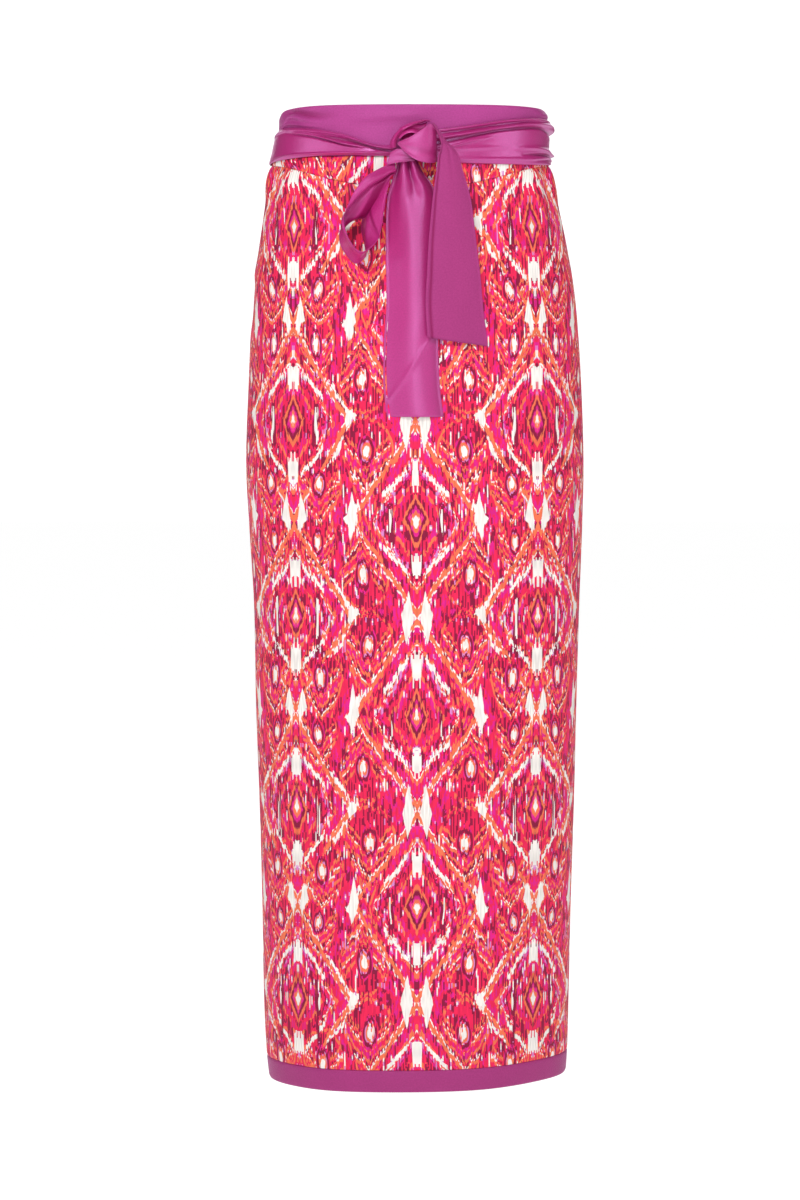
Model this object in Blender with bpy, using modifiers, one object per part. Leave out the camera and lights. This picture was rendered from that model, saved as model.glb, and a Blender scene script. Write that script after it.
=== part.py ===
"""A long tube sarong with a yoke, a satin waistband, a tied satin sash and a satin hem band.

Metres, +Z up. The origin is the middle of the waist opening at the height where the waist holds the
garment. The front faces -Y. A turn is an angle about Z from the centre front, positive towards +X.
"""

from collections import namedtuple
from math import asin, cos, exp, pi, radians, sin

import bmesh
import bpy
from mathutils import Vector

# Lengths along the garment, as heights above the origin
BAND_TOP = 0.0225
BAND_BOTTOM = -0.0270
YOKE_SIDE = -0.0350
YOKE_DIP = 0.0240
YOKE_DIP_POWER = 1.4
HEM_SEAM = -0.9215
HEM_BOTTOM = -0.9435
HEM_RISE_TO_RIGHT = 0.0030

# Cloth
SILK_WALL = 0.0014
SATIN_WALL = 0.0014
SEAM_GAP = 0.0004
SASH_CLEAR = 0.0006

# How finely the solids are divided
PANEL_COLUMNS = 24
PANEL_ROWS = 22
BAND_ROWS = 6
HEM_ROWS = 2
SASH_ROWS = 9
TURN_STEP = 180 / PANEL_COLUMNS
CORE_SEGMENTS = 16
CORE_RINGS = 10

# The bow's ribbons: how many steps along each and across it
Division = namedtuple("Division", "along across")
DIVISIONS = {
    "knot_wrap": Division(12, 8),
    "knot_under": Division(8, 5),
    "knot_arch": Division(14, 4),
    "bow_loop": Division(36, 6),
    "tail_long": Division(24, 10),
    "tail_short": Division(24, 6),
}

# The garment's outer surface: half width, sideways shift of the middle, depth before and behind, and the
# power of its oval, where 2 is an ellipse and more is squarer
Section = namedtuple("Section", "z half_width shift front back power")
SECTIONS = [
    Section(0.030, 0.1320, -0.0028, 0.097, 0.093, 2.25),
    Section(0.000, 0.1325, -0.0025, 0.097, 0.094, 2.25),
    Section(-0.020, 0.1335, -0.0040, 0.098, 0.097, 2.25),
    Section(-0.034, 0.1375, -0.0048, 0.100, 0.101, 2.25),
    Section(-0.050, 0.1420, -0.0048, 0.103, 0.106, 2.25),
    Section(-0.070, 0.1448, -0.0036, 0.106, 0.111, 2.25),
    Section(-0.110, 0.1520, -0.0022, 0.110, 0.119, 2.25),
    Section(-0.150, 0.1588, -0.0018, 0.113, 0.125, 2.23),
    Section(-0.190, 0.1622, -0.0008, 0.115, 0.127, 2.22),
    Section(-0.250, 0.1655, -0.0002, 0.115, 0.124, 2.20),
    Section(-0.330, 0.1682, -0.0002, 0.115, 0.118, 2.18),
    Section(-0.400, 0.1658, 0.0008, 0.113, 0.113, 2.16),
    Section(-0.470, 0.1626, 0.0016, 0.112, 0.110, 2.13),
    Section(-0.570, 0.1605, 0.0012, 0.110, 0.107, 2.10),
    Section(-0.670, 0.1578, 0.0018, 0.109, 0.105, 2.07),
    Section(-0.770, 0.1552, 0.0016, 0.109, 0.104, 2.04),
    Section(-0.870, 0.1534, 0.0014, 0.108, 0.103, 2.01),
    Section(-0.922, 0.1515, 0.0020, 0.108, 0.102, 2.00),
    Section(-0.950, 0.1490, 0.0024, 0.107, 0.101, 2.00),
]

# Soft ridges (+) and troughs (-) in the cloth: where they lie, how wide they are, and how far they run
Drape = namedtuple("Drape", "turn width top bottom height")
DRAPES = [
    Drape(47, 5, -0.034, -0.100, -0.0016),
    Drape(58, 5, -0.032, -0.110, 0.0020),
    Drape(69, 4, -0.032, -0.090, -0.0018),
    Drape(79, 5, -0.030, -0.085, 0.0026),
    Drape(-56, 6, -0.034, -0.095, 0.0016),
    Drape(-67, 5, -0.032, -0.090, -0.0016),
    Drape(-79, 5, -0.030, -0.080, 0.0024),
    Drape(-86, 8, -0.140, -0.205, -0.0026),
    Drape(-38, 14, -0.420, -1.400, 0.0022),
    Drape(-8, 15, -0.460, -1.500, -0.0016),
    Drape(24, 13, -0.440, -1.400, 0.0022),
    Drape(54, 14, -0.500, -1.500, -0.0018),
    Drape(110, 11, -0.250, -1.300, -0.0035),
    Drape(133, 10, -0.230, -1.300, 0.0045),
    Drape(158, 11, -0.240, -1.300, -0.0040),
    Drape(181, 10, -0.260, -1.300, 0.0040),
    Drape(204, 11, -0.240, -1.300, -0.0040),
    Drape(228, 10, -0.230, -1.300, 0.0045),
    Drape(251, 11, -0.250, -1.300, -0.0035),
]

# The sash where it lies round the waist: its lower and upper edge, and its pleats across, as a share of
# its width from the lower edge. Roll is how far the folded upper edge stands out
Stretch = namedtuple("Stretch", "turn low high crease crease_depth swell roll")
SASH_LEFT = [
    Stretch(-89.8, -0.0340, -0.0050, 0.88, 0.0008, 0.0016, 0.0010),
    Stretch(-75.0, -0.0315, 0.0002, 0.84, 0.0010, 0.0014, 0.0012),
    Stretch(-60.0, -0.0295, 0.0012, 0.80, 0.0012, 0.0012, 0.0016),
    Stretch(-40.0, -0.0270, -0.0014, 0.56, 0.0016, 0.0012, 0.0022),
    Stretch(-25.0, -0.0265, -0.0072, 0.42, 0.0018, 0.0018, 0.0024),
    Stretch(-12.0, -0.0275, -0.0165, 0.40, 0.0016, 0.0022, 0.0020),
    Stretch(-0.2, -0.0275, -0.0165, 0.45, 0.0010, 0.0014, 0.0014),
]
SASH_RIGHT = [
    Stretch(0.2, -0.0320, -0.0050, 0.60, 0.0010, 0.0012, 0.0012),
    Stretch(10.0, -0.0335, -0.0012, 0.66, 0.0024, 0.0016, 0.0024),
    Stretch(20.0, -0.0345, 0.0020, 0.71, 0.0028, 0.0018, 0.0030),
    Stretch(40.0, -0.0350, 0.0082, 0.78, 0.0030, 0.0020, 0.0034),
    Stretch(60.0, -0.0350, 0.0108, 0.79, 0.0030, 0.0026, 0.0036),
    Stretch(75.0, -0.0345, 0.0105, 0.73, 0.0030, 0.0032, 0.0034),
    Stretch(89.8, -0.0335, 0.0085, 0.70, 0.0034, 0.0034, 0.0022),
]
SASH_BACK = [
    Stretch(90.2, -0.0335, 0.0085, 0.70, 0.0034, 0.0034, 0.0022),
    Stretch(130.0, -0.0345, 0.0100, 0.62, 0.0022, 0.0030, 0.0024),
    Stretch(180.0, -0.0350, 0.0080, 0.52, 0.0016, 0.0024, 0.0018),
    Stretch(230.0, -0.0345, 0.0040, 0.66, 0.0018, 0.0020, 0.0016),
    Stretch(269.8, -0.0340, -0.0050, 0.88, 0.0008, 0.0016, 0.0010),
]
CREASE_SHARE = 0.10

# The bow, as ribbons between two edges. Each edge point is its place across and up the front, and how far
# it stands before the garment's front. Swell is how far the ribbon's middle bows out
Station = namedtuple("Station", "x1 z1 out1 x2 z2 out2 swell")
TAIL_LONG = [
    Station(-0.0165, -0.0310, 0.0100, 0.0010, -0.0310, 0.0100, 0.0020),
    Station(-0.0203, -0.0451, 0.0085, 0.0083, -0.0451, 0.0095, 0.0040),
    Station(-0.0237, -0.0548, 0.0060, 0.0161, -0.0558, 0.0075, 0.0050),
    Station(-0.0271, -0.0674, 0.0035, 0.0209, -0.0694, 0.0050, 0.0050),
    Station(-0.0286, -0.0917, 0.0018, 0.0229, -0.0936, 0.0030, 0.0042),
    Station(-0.0286, -0.1208, 0.0014, 0.0229, -0.1208, 0.0022, 0.0035),
    Station(-0.0281, -0.1694, 0.0014, 0.0229, -0.1694, 0.0016, 0.0025),
    Station(-0.0305, -0.2082, 0.0014, 0.0219, -0.2082, 0.0014, 0.0020),
    Station(-0.0310, -0.2470, 0.0014, 0.0233, -0.2470, 0.0014, 0.0012),
    Station(-0.0276, -0.2791, 0.0014, 0.0272, -0.2791, 0.0014, 0.0008),
]
TAIL_SHORT = [
    Station(0.0160, 0.0030, 0.0170, 0.0172, 0.0042, 0.0095, 0.0004),
    Station(0.0190, -0.0015, 0.0195, 0.0205, -0.0005, 0.0120, 0.0006),
    Station(0.0215, -0.0070, 0.0225, 0.0234, -0.0060, 0.0160, 0.0008),
    Station(0.0234, -0.0125, 0.0250, 0.0270, -0.0115, 0.0190, 0.0010),
    Station(0.0245, -0.0179, 0.0270, 0.0335, -0.0179, 0.0215, 0.0014),
    Station(0.0236, -0.0225, 0.0278, 0.0378, -0.0222, 0.0225, 0.0018),
    Station(0.0214, -0.0290, 0.0282, 0.0420, -0.0292, 0.0226, 0.0022),
    Station(0.0200, -0.0410, 0.0270, 0.0450, -0.0415, 0.0208, 0.0028),
    Station(0.0170, -0.0626, 0.0240, 0.0520, -0.0655, 0.0170, 0.0030),
    Station(0.0146, -0.0839, 0.0210, 0.0554, -0.0868, 0.0135, 0.0028),
    Station(0.0122, -0.1111, 0.0165, 0.0588, -0.1140, 0.0095, 0.0024),
    Station(0.0107, -0.1402, 0.0120, 0.0627, -0.1441, 0.0055, 0.0018),
    Station(0.0093, -0.1694, 0.0085, 0.0656, -0.1752, 0.0028, 0.0014),
    Station(0.0112, -0.2024, 0.0068, 0.0700, -0.2111, 0.0015, 0.0010),
]
LOOP = [
    Station(-0.0195, -0.0335, 0.0125, -0.0195, -0.0440, 0.0120, 0.0010),
    Station(-0.0300, -0.0378, 0.0155, -0.0240, -0.0475, 0.0118, 0.0016),
    Station(-0.0400, -0.0428, 0.0200, -0.0285, -0.0545, 0.0115, 0.0025),
    Station(-0.0500, -0.0499, 0.0240, -0.0334, -0.0635, 0.0110, 0.0035),
    Station(-0.0606, -0.0645, 0.0260, -0.0393, -0.0752, 0.0095, 0.0040),
    Station(-0.0674, -0.0781, 0.0265, -0.0480, -0.0859, 0.0075, 0.0040),
    Station(-0.0703, -0.0878, 0.0265, -0.0606, -0.0897, 0.0055, 0.0030),
    Station(-0.0684, -0.0975, 0.0265, -0.0723, -0.0975, 0.0040, 0.0020),
    Station(-0.0645, -0.1082, 0.0265, -0.0733, -0.1121, 0.0025, 0.0015),
    Station(-0.0577, -0.1179, 0.0265, -0.0645, -0.1266, 0.0016, 0.0015),
    Station(-0.0509, -0.1208, 0.0265, -0.0567, -0.1315, 0.0014, 0.0015),
    Station(-0.0432, -0.1169, 0.0260, -0.0480, -0.1240, 0.0014, 0.0020),
    Station(-0.0364, -0.1092, 0.0250, -0.0460, -0.1092, 0.0016, 0.0025),
    Station(-0.0325, -0.0965, 0.0225, -0.0470, -0.0956, 0.0022, 0.0025),
    Station(-0.0300, -0.0800, 0.0190, -0.0425, -0.0771, 0.0030, 0.0020),
    Station(-0.0275, -0.0640, 0.0150, -0.0334, -0.0606, 0.0045, 0.0010),
    Station(-0.0245, -0.0500, 0.0120, -0.0262, -0.0490, 0.0070, 0.0005),
]
KNOT_WRAP = [
    Station(-0.0170, -0.0168, 0.0170, -0.0172, -0.0150, 0.0165, 0.0002),
    Station(-0.0082, -0.0257, 0.0220, -0.0072, -0.0111, 0.0215, 0.0010),
    Station(-0.0004, -0.0315, 0.0235, 0.0025, -0.0053, 0.0230, 0.0016),
    Station(0.0083, -0.0344, 0.0225, 0.0102, 0.0005, 0.0215, 0.0020),
    Station(0.0151, -0.0349, 0.0205, 0.0142, 0.0026, 0.0188, 0.0020),
    Station(0.0198, -0.0337, 0.0175, 0.0196, -0.0035, 0.0160, 0.0010),
]
KNOT_UNDER = [
    Station(-0.0275, -0.0363, 0.0165, -0.0245, -0.0247, 0.0150, 0.0004),
    Station(-0.0169, -0.0344, 0.0172, -0.0169, -0.0213, 0.0172, 0.0010),
    Station(-0.0072, -0.0334, 0.0188, -0.0092, -0.0228, 0.0188, 0.0006),
    Station(-0.0010, -0.0325, 0.0190, -0.0030, -0.0285, 0.0190, 0.0002),
]
KNOT_ARCH = [
    Station(-0.0185, -0.0200, 0.0155, -0.0242, -0.0200, 0.0075, 0.0004),
    Station(-0.0180, -0.0140, 0.0165, -0.0240, -0.0135, 0.0075, 0.0008),
    Station(-0.0140, -0.0075, 0.0175, -0.0189, -0.0053, 0.0075, 0.0010),
    Station(-0.0080, -0.0020, 0.0180, -0.0111, 0.0010, 0.0075, 0.0010),
    Station(-0.0005, 0.0010, 0.0180, -0.0014, 0.0049, 0.0075, 0.0010),
    Station(0.0080, 0.0045, 0.0170, 0.0085, 0.0066, 0.0075, 0.0008),
    Station(0.0135, 0.0055, 0.0160, 0.0150, 0.0060, 0.0085, 0.0004),
]
# The long tail's gathers: their depth, how fast they fade down the tail, and half waves across it
GATHER_DEPTH = 0.0022
GATHER_FADE = 7
GATHER_WAVES = 5
# The packed cloth in the knot: its middle across and up the front and out from it, and its half sizes
KNOT_MIDDLE = (0.0, -0.0150, 0.0112)
KNOT_HALF = (0.0150, 0.0066, 0.0130)

COLOURS = {
    "printed_silk": (0.80, 0.10, 0.22, 1.0),
    "satin": (0.48, 0.07, 0.24, 1.0),
}
ROUGHNESS = {"printed_silk": 0.62, "satin": 0.38}


def clear_scene():
    for obj in list(bpy.data.objects):
        bpy.data.objects.remove(obj, do_unlink=True)


def make_material(name, cloth):
    """A sub-part's own material, in the colour and roughness of its cloth."""
    material = bpy.data.materials.new(f"{name}_{cloth}")
    material.use_nodes = True
    shader = material.node_tree.nodes["Principled BSDF"]
    shader.inputs["Base Color"].default_value = COLOURS[cloth]
    shader.inputs["Roughness"].default_value = ROUGHNESS[cloth]
    shader.inputs["Metallic"].default_value = 0.0
    return material


def curve_value(xs, ys, x):
    """Reads a smooth curve through the points, with the slope at each taken from its neighbours."""
    if x <= xs[0]:
        return ys[0]
    if x >= xs[-1]:
        return ys[-1]
    i = max(k for k in range(len(xs) - 1) if xs[k] <= x)
    slopes = []
    for k in (i, i + 1):
        before, after = max(k - 1, 0), min(k + 1, len(xs) - 1)
        slopes.append((ys[after] - ys[before]) / (xs[after] - xs[before]))
    step = xs[i + 1] - xs[i]
    t = (x - xs[i]) / step
    return (
        (2 * t**3 - 3 * t**2 + 1) * ys[i]
        + (t**3 - 2 * t**2 + t) * step * slopes[0]
        + (3 * t**2 - 2 * t**3) * ys[i + 1]
        + (t**3 - t**2) * step * slopes[1]
    )


def read_table(rows, column, key, x):
    ordered = sorted(rows, key=lambda row: getattr(row, key))
    return curve_value([getattr(row, key) for row in ordered], [getattr(row, column) for row in ordered], x)


def section_at(z):
    return Section(z, *(read_table(SECTIONS, name, "z", z) for name in Section._fields[1:]))


def smooth_step(t):
    t = min(max(t, 0.0), 1.0)
    return t * t * (3 - 2 * t)


def drape_at(turn, z):
    """How far the cloth's soft ridges and troughs move it outwards."""
    total = 0.0
    for row in DRAPES:
        away = (turn - row.turn + 180) % 360 - 180
        fall = (row.top - z) / (row.top - row.bottom)
        if 0 < fall < 1:
            total += row.height * exp(-((away / row.width) ** 2)) * smooth_step(fall * 4) * smooth_step(2 - fall * 2)
    return total


def surface_point(turn, z, out=0.0):
    """A point of the garment's outer surface, moved outwards by a distance."""
    row = section_at(z)
    angle = radians(turn)
    across, ahead = sin(angle), cos(angle)
    depth = row.front if ahead > 0 else row.back
    x = row.half_width * abs(across) ** (2 / row.power) * (1 if across > 0 else -1)
    y = -depth * abs(ahead) ** (2 / row.power) * (1 if ahead > 0 else -1)
    slope = row.power - 1
    normal = Vector(
        (
            abs(x / row.half_width) ** slope / row.half_width * (1 if x > 0 else -1),
            abs(y / depth) ** slope / depth * (1 if y > 0 else -1),
            0.0,
        )
    ).normalized()
    return Vector((x + row.shift, y, z)) + normal * (out + drape_at(turn, z))


def front_point(x, z, out):
    """A point a distance before the garment's front, straight towards the viewer."""
    row = section_at(z)
    share = min(max((x - row.shift) / row.half_width, -0.999), 0.999)
    angle = asin(abs(share) ** (row.power / 2)) * (1 if share > 0 else -1)
    return Vector((x, surface_point(angle * 180 / pi, z).y - out, z))


def hem_tilt(turn):
    return HEM_RISE_TO_RIGHT * sin(radians(turn))


def band_top(turn):
    return BAND_TOP


def band_bottom(turn):
    return BAND_BOTTOM


def yoke_seam(turn):
    """The yoke's lower edge, lowest at the centre front and the centre back."""
    across = abs(sin(radians(turn)))
    return YOKE_SIDE - YOKE_DIP * cos(across * pi / 2) ** YOKE_DIP_POWER


def hem_seam(turn):
    return HEM_SEAM + hem_tilt(turn)


def hem_bottom(turn):
    return HEM_BOTTOM + hem_tilt(turn)


def grid_faces(columns, rows, start=0, flip=False):
    """The faces of a grid of points that are numbered column by column."""
    faces = []
    for i in range(columns - 1):
        for j in range(rows - 1):
            a = start + i * rows + j
            face = (a, a + rows, a + rows + 1, a + 1)
            faces.append(face[::-1] if flip else face)
    return faces


def place_object(name, shape, cloth, collection):
    """Turns a bmesh into the named object, with its own material."""
    mesh = bpy.data.meshes.new(name)
    shape.to_mesh(mesh)
    shape.free()
    mesh.materials.append(make_material(name, cloth))
    mesh.shade_smooth()
    obj = bpy.data.objects.new(name, mesh)
    collection.objects.link(obj)
    return obj


def make_object(name, points, faces, cloth, collection):
    shape = bmesh.new()
    corners = [shape.verts.new(point) for point in points]
    for face in faces:
        shape.faces.new([corners[i] for i in face])
    shape.normal_update()
    return place_object(name, shape, cloth, collection)


def thicken(obj, thickness, offset):
    """Gives an open sheet its thickness: offset -1 puts all of it on the inner side, 0 half on each."""
    solidify = obj.modifiers.new("Thickness", "SOLIDIFY")
    solidify.thickness = thickness
    solidify.offset = offset
    solidify.use_even_offset = True
    solidify.use_quality_normals = True


def panel(name, first_turn, last_turn, top, bottom, rows, cloth, collection):
    """A cloth panel of the tube, between two turns and two edge lines."""
    columns = round((last_turn - first_turn) / TURN_STEP) + 1
    half_gap = SEAM_GAP / 2
    points = []
    for i in range(columns):
        turn = first_turn + i * TURN_STEP
        side = half_gap if i == 0 else -half_gap if i == columns - 1 else 0.0
        upper, lower = top(turn) - half_gap, bottom(turn) + half_gap
        for j in range(rows + 1):
            z = upper + (lower - upper) * j / rows
            point = surface_point(turn, z)
            ahead = surface_point(turn + 1, z) - surface_point(turn - 1, z)
            points.append(point + ahead.normalized() * side)
    obj = make_object(name, points, grid_faces(columns, rows + 1, flip=True), cloth, collection)
    thicken(obj, SATIN_WALL if cloth == "satin" else SILK_WALL, -1)
    return obj


def sash_swell(row, v):
    """How far a stretch's outer face stands out, over its width: a crease, a broad swell, a rolled top."""
    crease = row.crease_depth * exp(-(((v - row.crease) / CREASE_SHARE) ** 2))
    swell = row.swell * sin(pi * v) ** 0.7
    roll = row.roll * exp(-(((v - (row.crease + 1) / 2) / (0.75 * (1.02 - row.crease))) ** 2))
    return max(swell + roll - crease, 0.0)


def stretch(name, table, collection):
    """A stretch of the sash round the waist: a plain inside and an outside raised in its folds."""
    first, last = table[0].turn, table[-1].turn
    inner_turns = [k * TURN_STEP for k in range(-48, 49) if first < k * TURN_STEP < last]
    turns = [first] + [t for t in inner_turns if t - first > 1 and last - t > 1] + [last]
    outer, inner = [], []
    for turn in turns:
        row = Stretch(turn, *(read_table(table, field, "turn", turn) for field in Stretch._fields[1:]))
        for j in range(SASH_ROWS + 1):
            v = j / SASH_ROWS
            z = row.low + (row.high - row.low) * v
            inner.append(surface_point(turn, z, SASH_CLEAR))
            outer.append(surface_point(turn, z, SASH_CLEAR + SATIN_WALL + sash_swell(row, v)))
    return wall(name, outer, inner, len(turns), SASH_ROWS + 1, "satin", collection)


def wall(name, outer, inner, columns, rows, cloth, collection):
    """A closed wall between an outer and an inner grid of points."""
    count = columns * rows
    faces = grid_faces(columns, rows) + grid_faces(columns, rows, start=count, flip=True)
    rim = (
        [i * rows for i in range(columns)]
        + [(columns - 1) * rows + j for j in range(1, rows)]
        + [i * rows + rows - 1 for i in range(columns - 2, -1, -1)]
        + [j for j in range(rows - 2, 0, -1)]
    )
    for a, b in zip(rim, rim[1:] + rim[:1]):
        faces.append((b, a, a + count, b + count))
    return make_object(name, outer + inner, faces, cloth, collection)


def ribbon(name, table, collection, folds=None):
    """A satin ribbon lofted between its two edges, its middle bowed out, with folds near one end if any."""
    steps, across = DIVISIONS[name]
    places = list(range(len(table)))
    points = []
    for i in range(steps + 1):
        t = i / steps * (len(table) - 1)
        row = Station(*(curve_value(places, [getattr(s, field) for s in table], t) for field in Station._fields))
        span = front_point(row.x2, row.z2, row.out2) - front_point(row.x1, row.z1, row.out1)
        normal = along(table, places, t).cross(span).normalized()
        for j in range(across + 1):
            v = j / across
            x, z, out = (a + (b - a) * v for a, b in ((row.x1, row.x2), (row.z1, row.z2), (row.out1, row.out2)))
            lift = row.swell * sin(pi * v)
            if folds:
                lift += folds(i / steps, v)
            points.append(front_point(x, z, out) + normal * lift)
    obj = make_object(name, points, grid_faces(steps + 1, across + 1, flip=True), "satin", collection)
    thicken(obj, SATIN_WALL, 0)
    return obj


def along(table, places, t):
    """The direction in which a ribbon's middle line runs."""
    ends = []
    for u in (max(t - 0.3, 0), min(t + 0.3, len(table) - 1)):
        row = Station(*(curve_value(places, [getattr(s, field) for s in table], u) for field in Station._fields))
        ends.append((front_point(row.x1, row.z1, row.out1) + front_point(row.x2, row.z2, row.out2)) / 2)
    return (ends[1] - ends[0]).normalized()


def gathers(t, v):
    """Two soft lengthwise folds of the long tail, strongest below the knot."""
    return GATHER_DEPTH * exp(-t * GATHER_FADE) * cos(v * GATHER_WAVES * pi)


def knot_core(collection):
    """The packed cloth inside the knot, under its wraps."""
    shape = bmesh.new()
    bmesh.ops.create_uvsphere(shape, u_segments=CORE_SEGMENTS, v_segments=CORE_RINGS, radius=1.0)
    bmesh.ops.scale(shape, vec=Vector(KNOT_HALF), verts=shape.verts)
    bmesh.ops.translate(shape, vec=front_point(*KNOT_MIDDLE), verts=shape.verts)
    return place_object("knot_core", shape, "satin", collection)


def build():
    clear_scene()
    collection = bpy.data.collections.new("sarong")
    bpy.context.scene.collection.children.link(collection)
    for side, first, last in (("front", -90, 90), ("back", 90, 270)):
        panel(f"waistband_{side}", first, last, band_top, band_bottom, BAND_ROWS, "satin", collection)
        panel(f"yoke_{side}", first, last, band_bottom, yoke_seam, BAND_ROWS, "printed_silk", collection)
        panel(f"skirt_{side}", first, last, yoke_seam, hem_seam, PANEL_ROWS, "printed_silk", collection)
        panel(f"hem_band_{side}", first, last, hem_seam, hem_bottom, HEM_ROWS, "satin", collection)
    for name, table in (("sash_left", SASH_LEFT), ("sash_right", SASH_RIGHT), ("sash_back", SASH_BACK)):
        stretch(name, table, collection)
    knot_core(collection)
    ribbon("knot_wrap", KNOT_WRAP, collection)
    ribbon("knot_under", KNOT_UNDER, collection)
    ribbon("knot_arch", KNOT_ARCH, collection)
    ribbon("bow_loop", LOOP, collection)
    ribbon("tail_long", TAIL_LONG, collection, folds=gathers)
    ribbon("tail_short", TAIL_SHORT, collection)


build()
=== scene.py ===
from collections import namedtuple

import bmesh
import bpy
import numpy as np
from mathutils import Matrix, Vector


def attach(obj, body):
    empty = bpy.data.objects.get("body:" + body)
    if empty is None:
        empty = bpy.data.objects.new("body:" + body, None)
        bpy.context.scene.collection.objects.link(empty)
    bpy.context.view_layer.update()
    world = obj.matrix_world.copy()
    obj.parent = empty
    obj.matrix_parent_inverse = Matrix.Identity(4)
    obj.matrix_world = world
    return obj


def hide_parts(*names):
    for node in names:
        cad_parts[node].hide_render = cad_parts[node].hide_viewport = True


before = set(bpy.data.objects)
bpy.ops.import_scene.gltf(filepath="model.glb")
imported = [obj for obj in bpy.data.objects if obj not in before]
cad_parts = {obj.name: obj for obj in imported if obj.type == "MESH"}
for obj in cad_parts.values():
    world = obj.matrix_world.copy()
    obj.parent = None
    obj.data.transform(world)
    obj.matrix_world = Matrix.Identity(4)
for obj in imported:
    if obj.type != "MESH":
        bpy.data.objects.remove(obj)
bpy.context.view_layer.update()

# The garment's frame, in metres: the origin is the middle of the waist, +Z is up and the front faces -Y.
# A turn is an angle in degrees about Z from the centre front, positive towards +X. The waistband's upper
# edge has a narrow rounded corner and a broad dip at each side, and the yoke's lower edge dips in the middle
BAND_TOP = 0.0225
BAND_BOTTOM = -0.0270
BAND_CORNER_LEFT = 0.0055
BAND_CORNER_RIGHT = 0.0030
BAND_DIP_LEFT = 0.0048
BAND_DIP_RIGHT = 0.0024
YOKE_SIDE = -0.0350
YOKE_DIP = 0.0240
YOKE_DIP_POWER = 1.4
HEM_SEAM = -0.9215
HEM_BOTTOM = -0.9435
HEM_RISE_TO_RIGHT = 0.0030

# Cloth thicknesses, and how the seams sit
SILK = 0.0007
SATIN = 0.0006
SOLID_CLOTH = 0.0014
SEAM_LAP = 0.0002
SEAM_TURN = 0.0008
SEAM_TURN_WIDTH = 0.0014
SEAM_ALLOWANCE = 0.0025
SASH_CLEAR = 0.0006

# How far the print is pulled sideways in the puckers below the yoke, and over what height it waves
PULL = 0.0024
PULL_PITCH = 0.0038

# About how wide half the garment, the sash and a ribbon of the bow are, for spacing their points
PANEL_WIDTH = 0.46
SASH_WIDTH = 0.040
RIBBON_WIDTH = 0.040

# How dark the painted shade in a fold is at its deepest, how deep a crease is where that painted shade is
# full, and how wide the sash's edge rolls
FOLD_PAINTED_SHADE = 0.9
BAND_FULL_DEPTH = 0.0055
SASH_FULL_DEPTH = 0.0035
EDGE_ROLL = 0.0020

# How finely the cloth is divided
PANEL_COLUMNS = 150
SKIRT_ROWS = 230
YOKE_ROWS = 26
BAND_ROWS = 60
HEM_ROWS = 16
SASH_ROWS = 90


def table(kind, *rows):
    """A table's rows, with lengths given in millimetres, and turns, spreads and powers as they are."""
    scales = [1 if name in ("turn", "spread", "power") else 1000 for name in kind._fields]
    return [kind(*(value / scale for value, scale in zip(row, scales))) for row in rows]


# The garment's outer surface: half width, sideways shift of the middle, depth before and behind, and the
# power of its oval, where 2 is an ellipse and more is squarer
Section = namedtuple("Section", "z half_width shift front back power")
SECTIONS = table(
    Section,
    (30, 132, -2.8, 97, 93, 2.25),
    (0, 132.5, -2.5, 97, 94, 2.25),
    (-20, 133.5, -4, 98, 97, 2.25),
    (-34, 137.5, -4.8, 100, 101, 2.25),
    (-50, 142, -4.8, 103, 106, 2.25),
    (-70, 144.8, -3.6, 106, 111, 2.25),
    (-110, 152, -2.2, 110, 119, 2.25),
    (-150, 158.8, -1.8, 113, 125, 2.23),
    (-190, 162.2, -0.8, 115, 127, 2.22),
    (-250, 165.5, -0.2, 115, 124, 2.20),
    (-330, 168.2, -0.2, 115, 118, 2.18),
    (-400, 165.8, 0.8, 113, 113, 2.16),
    (-470, 162.6, 1.6, 112, 110, 2.13),
    (-570, 160.5, 1.2, 110, 107, 2.10),
    (-670, 157.8, 1.8, 109, 105, 2.07),
    (-770, 155.2, 1.6, 109, 104, 2.04),
    (-870, 153.4, 1.4, 108, 103, 2.01),
    (-922, 151.5, 2, 108, 102, 2.00),
    (-950, 149, 2.4, 107, 101, 2.00),
)

# Soft ridges (+) and troughs (-) in the cloth: where they lie, how many degrees they spread, and how far
# they run
Drape = namedtuple("Drape", "turn spread top bottom height")
DRAPES = table(
    Drape,
    (47, 5, -34, -100, -1.6),
    (58, 5, -32, -110, 2),
    (69, 4, -32, -90, -1.8),
    (79, 5, -30, -85, 2.6),
    (-56, 6, -34, -95, 1.6),
    (-67, 5, -32, -90, -1.6),
    (-79, 5, -30, -80, 2.4),
    (-86, 8, -140, -205, -2.6),
    (-38, 14, -420, -1400, 2.2),
    (-8, 15, -460, -1500, -1.6),
    (24, 13, -440, -1400, 2.2),
    (54, 14, -500, -1500, -1.8),
    (110, 11, -250, -1300, -3.5),
    (133, 10, -230, -1300, 4.5),
    (158, 11, -240, -1300, -4),
    (181, 10, -260, -1300, 4),
    (204, 11, -240, -1300, -4),
    (228, 10, -230, -1300, 4.5),
    (251, 11, -250, -1300, -3.5),
)


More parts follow.
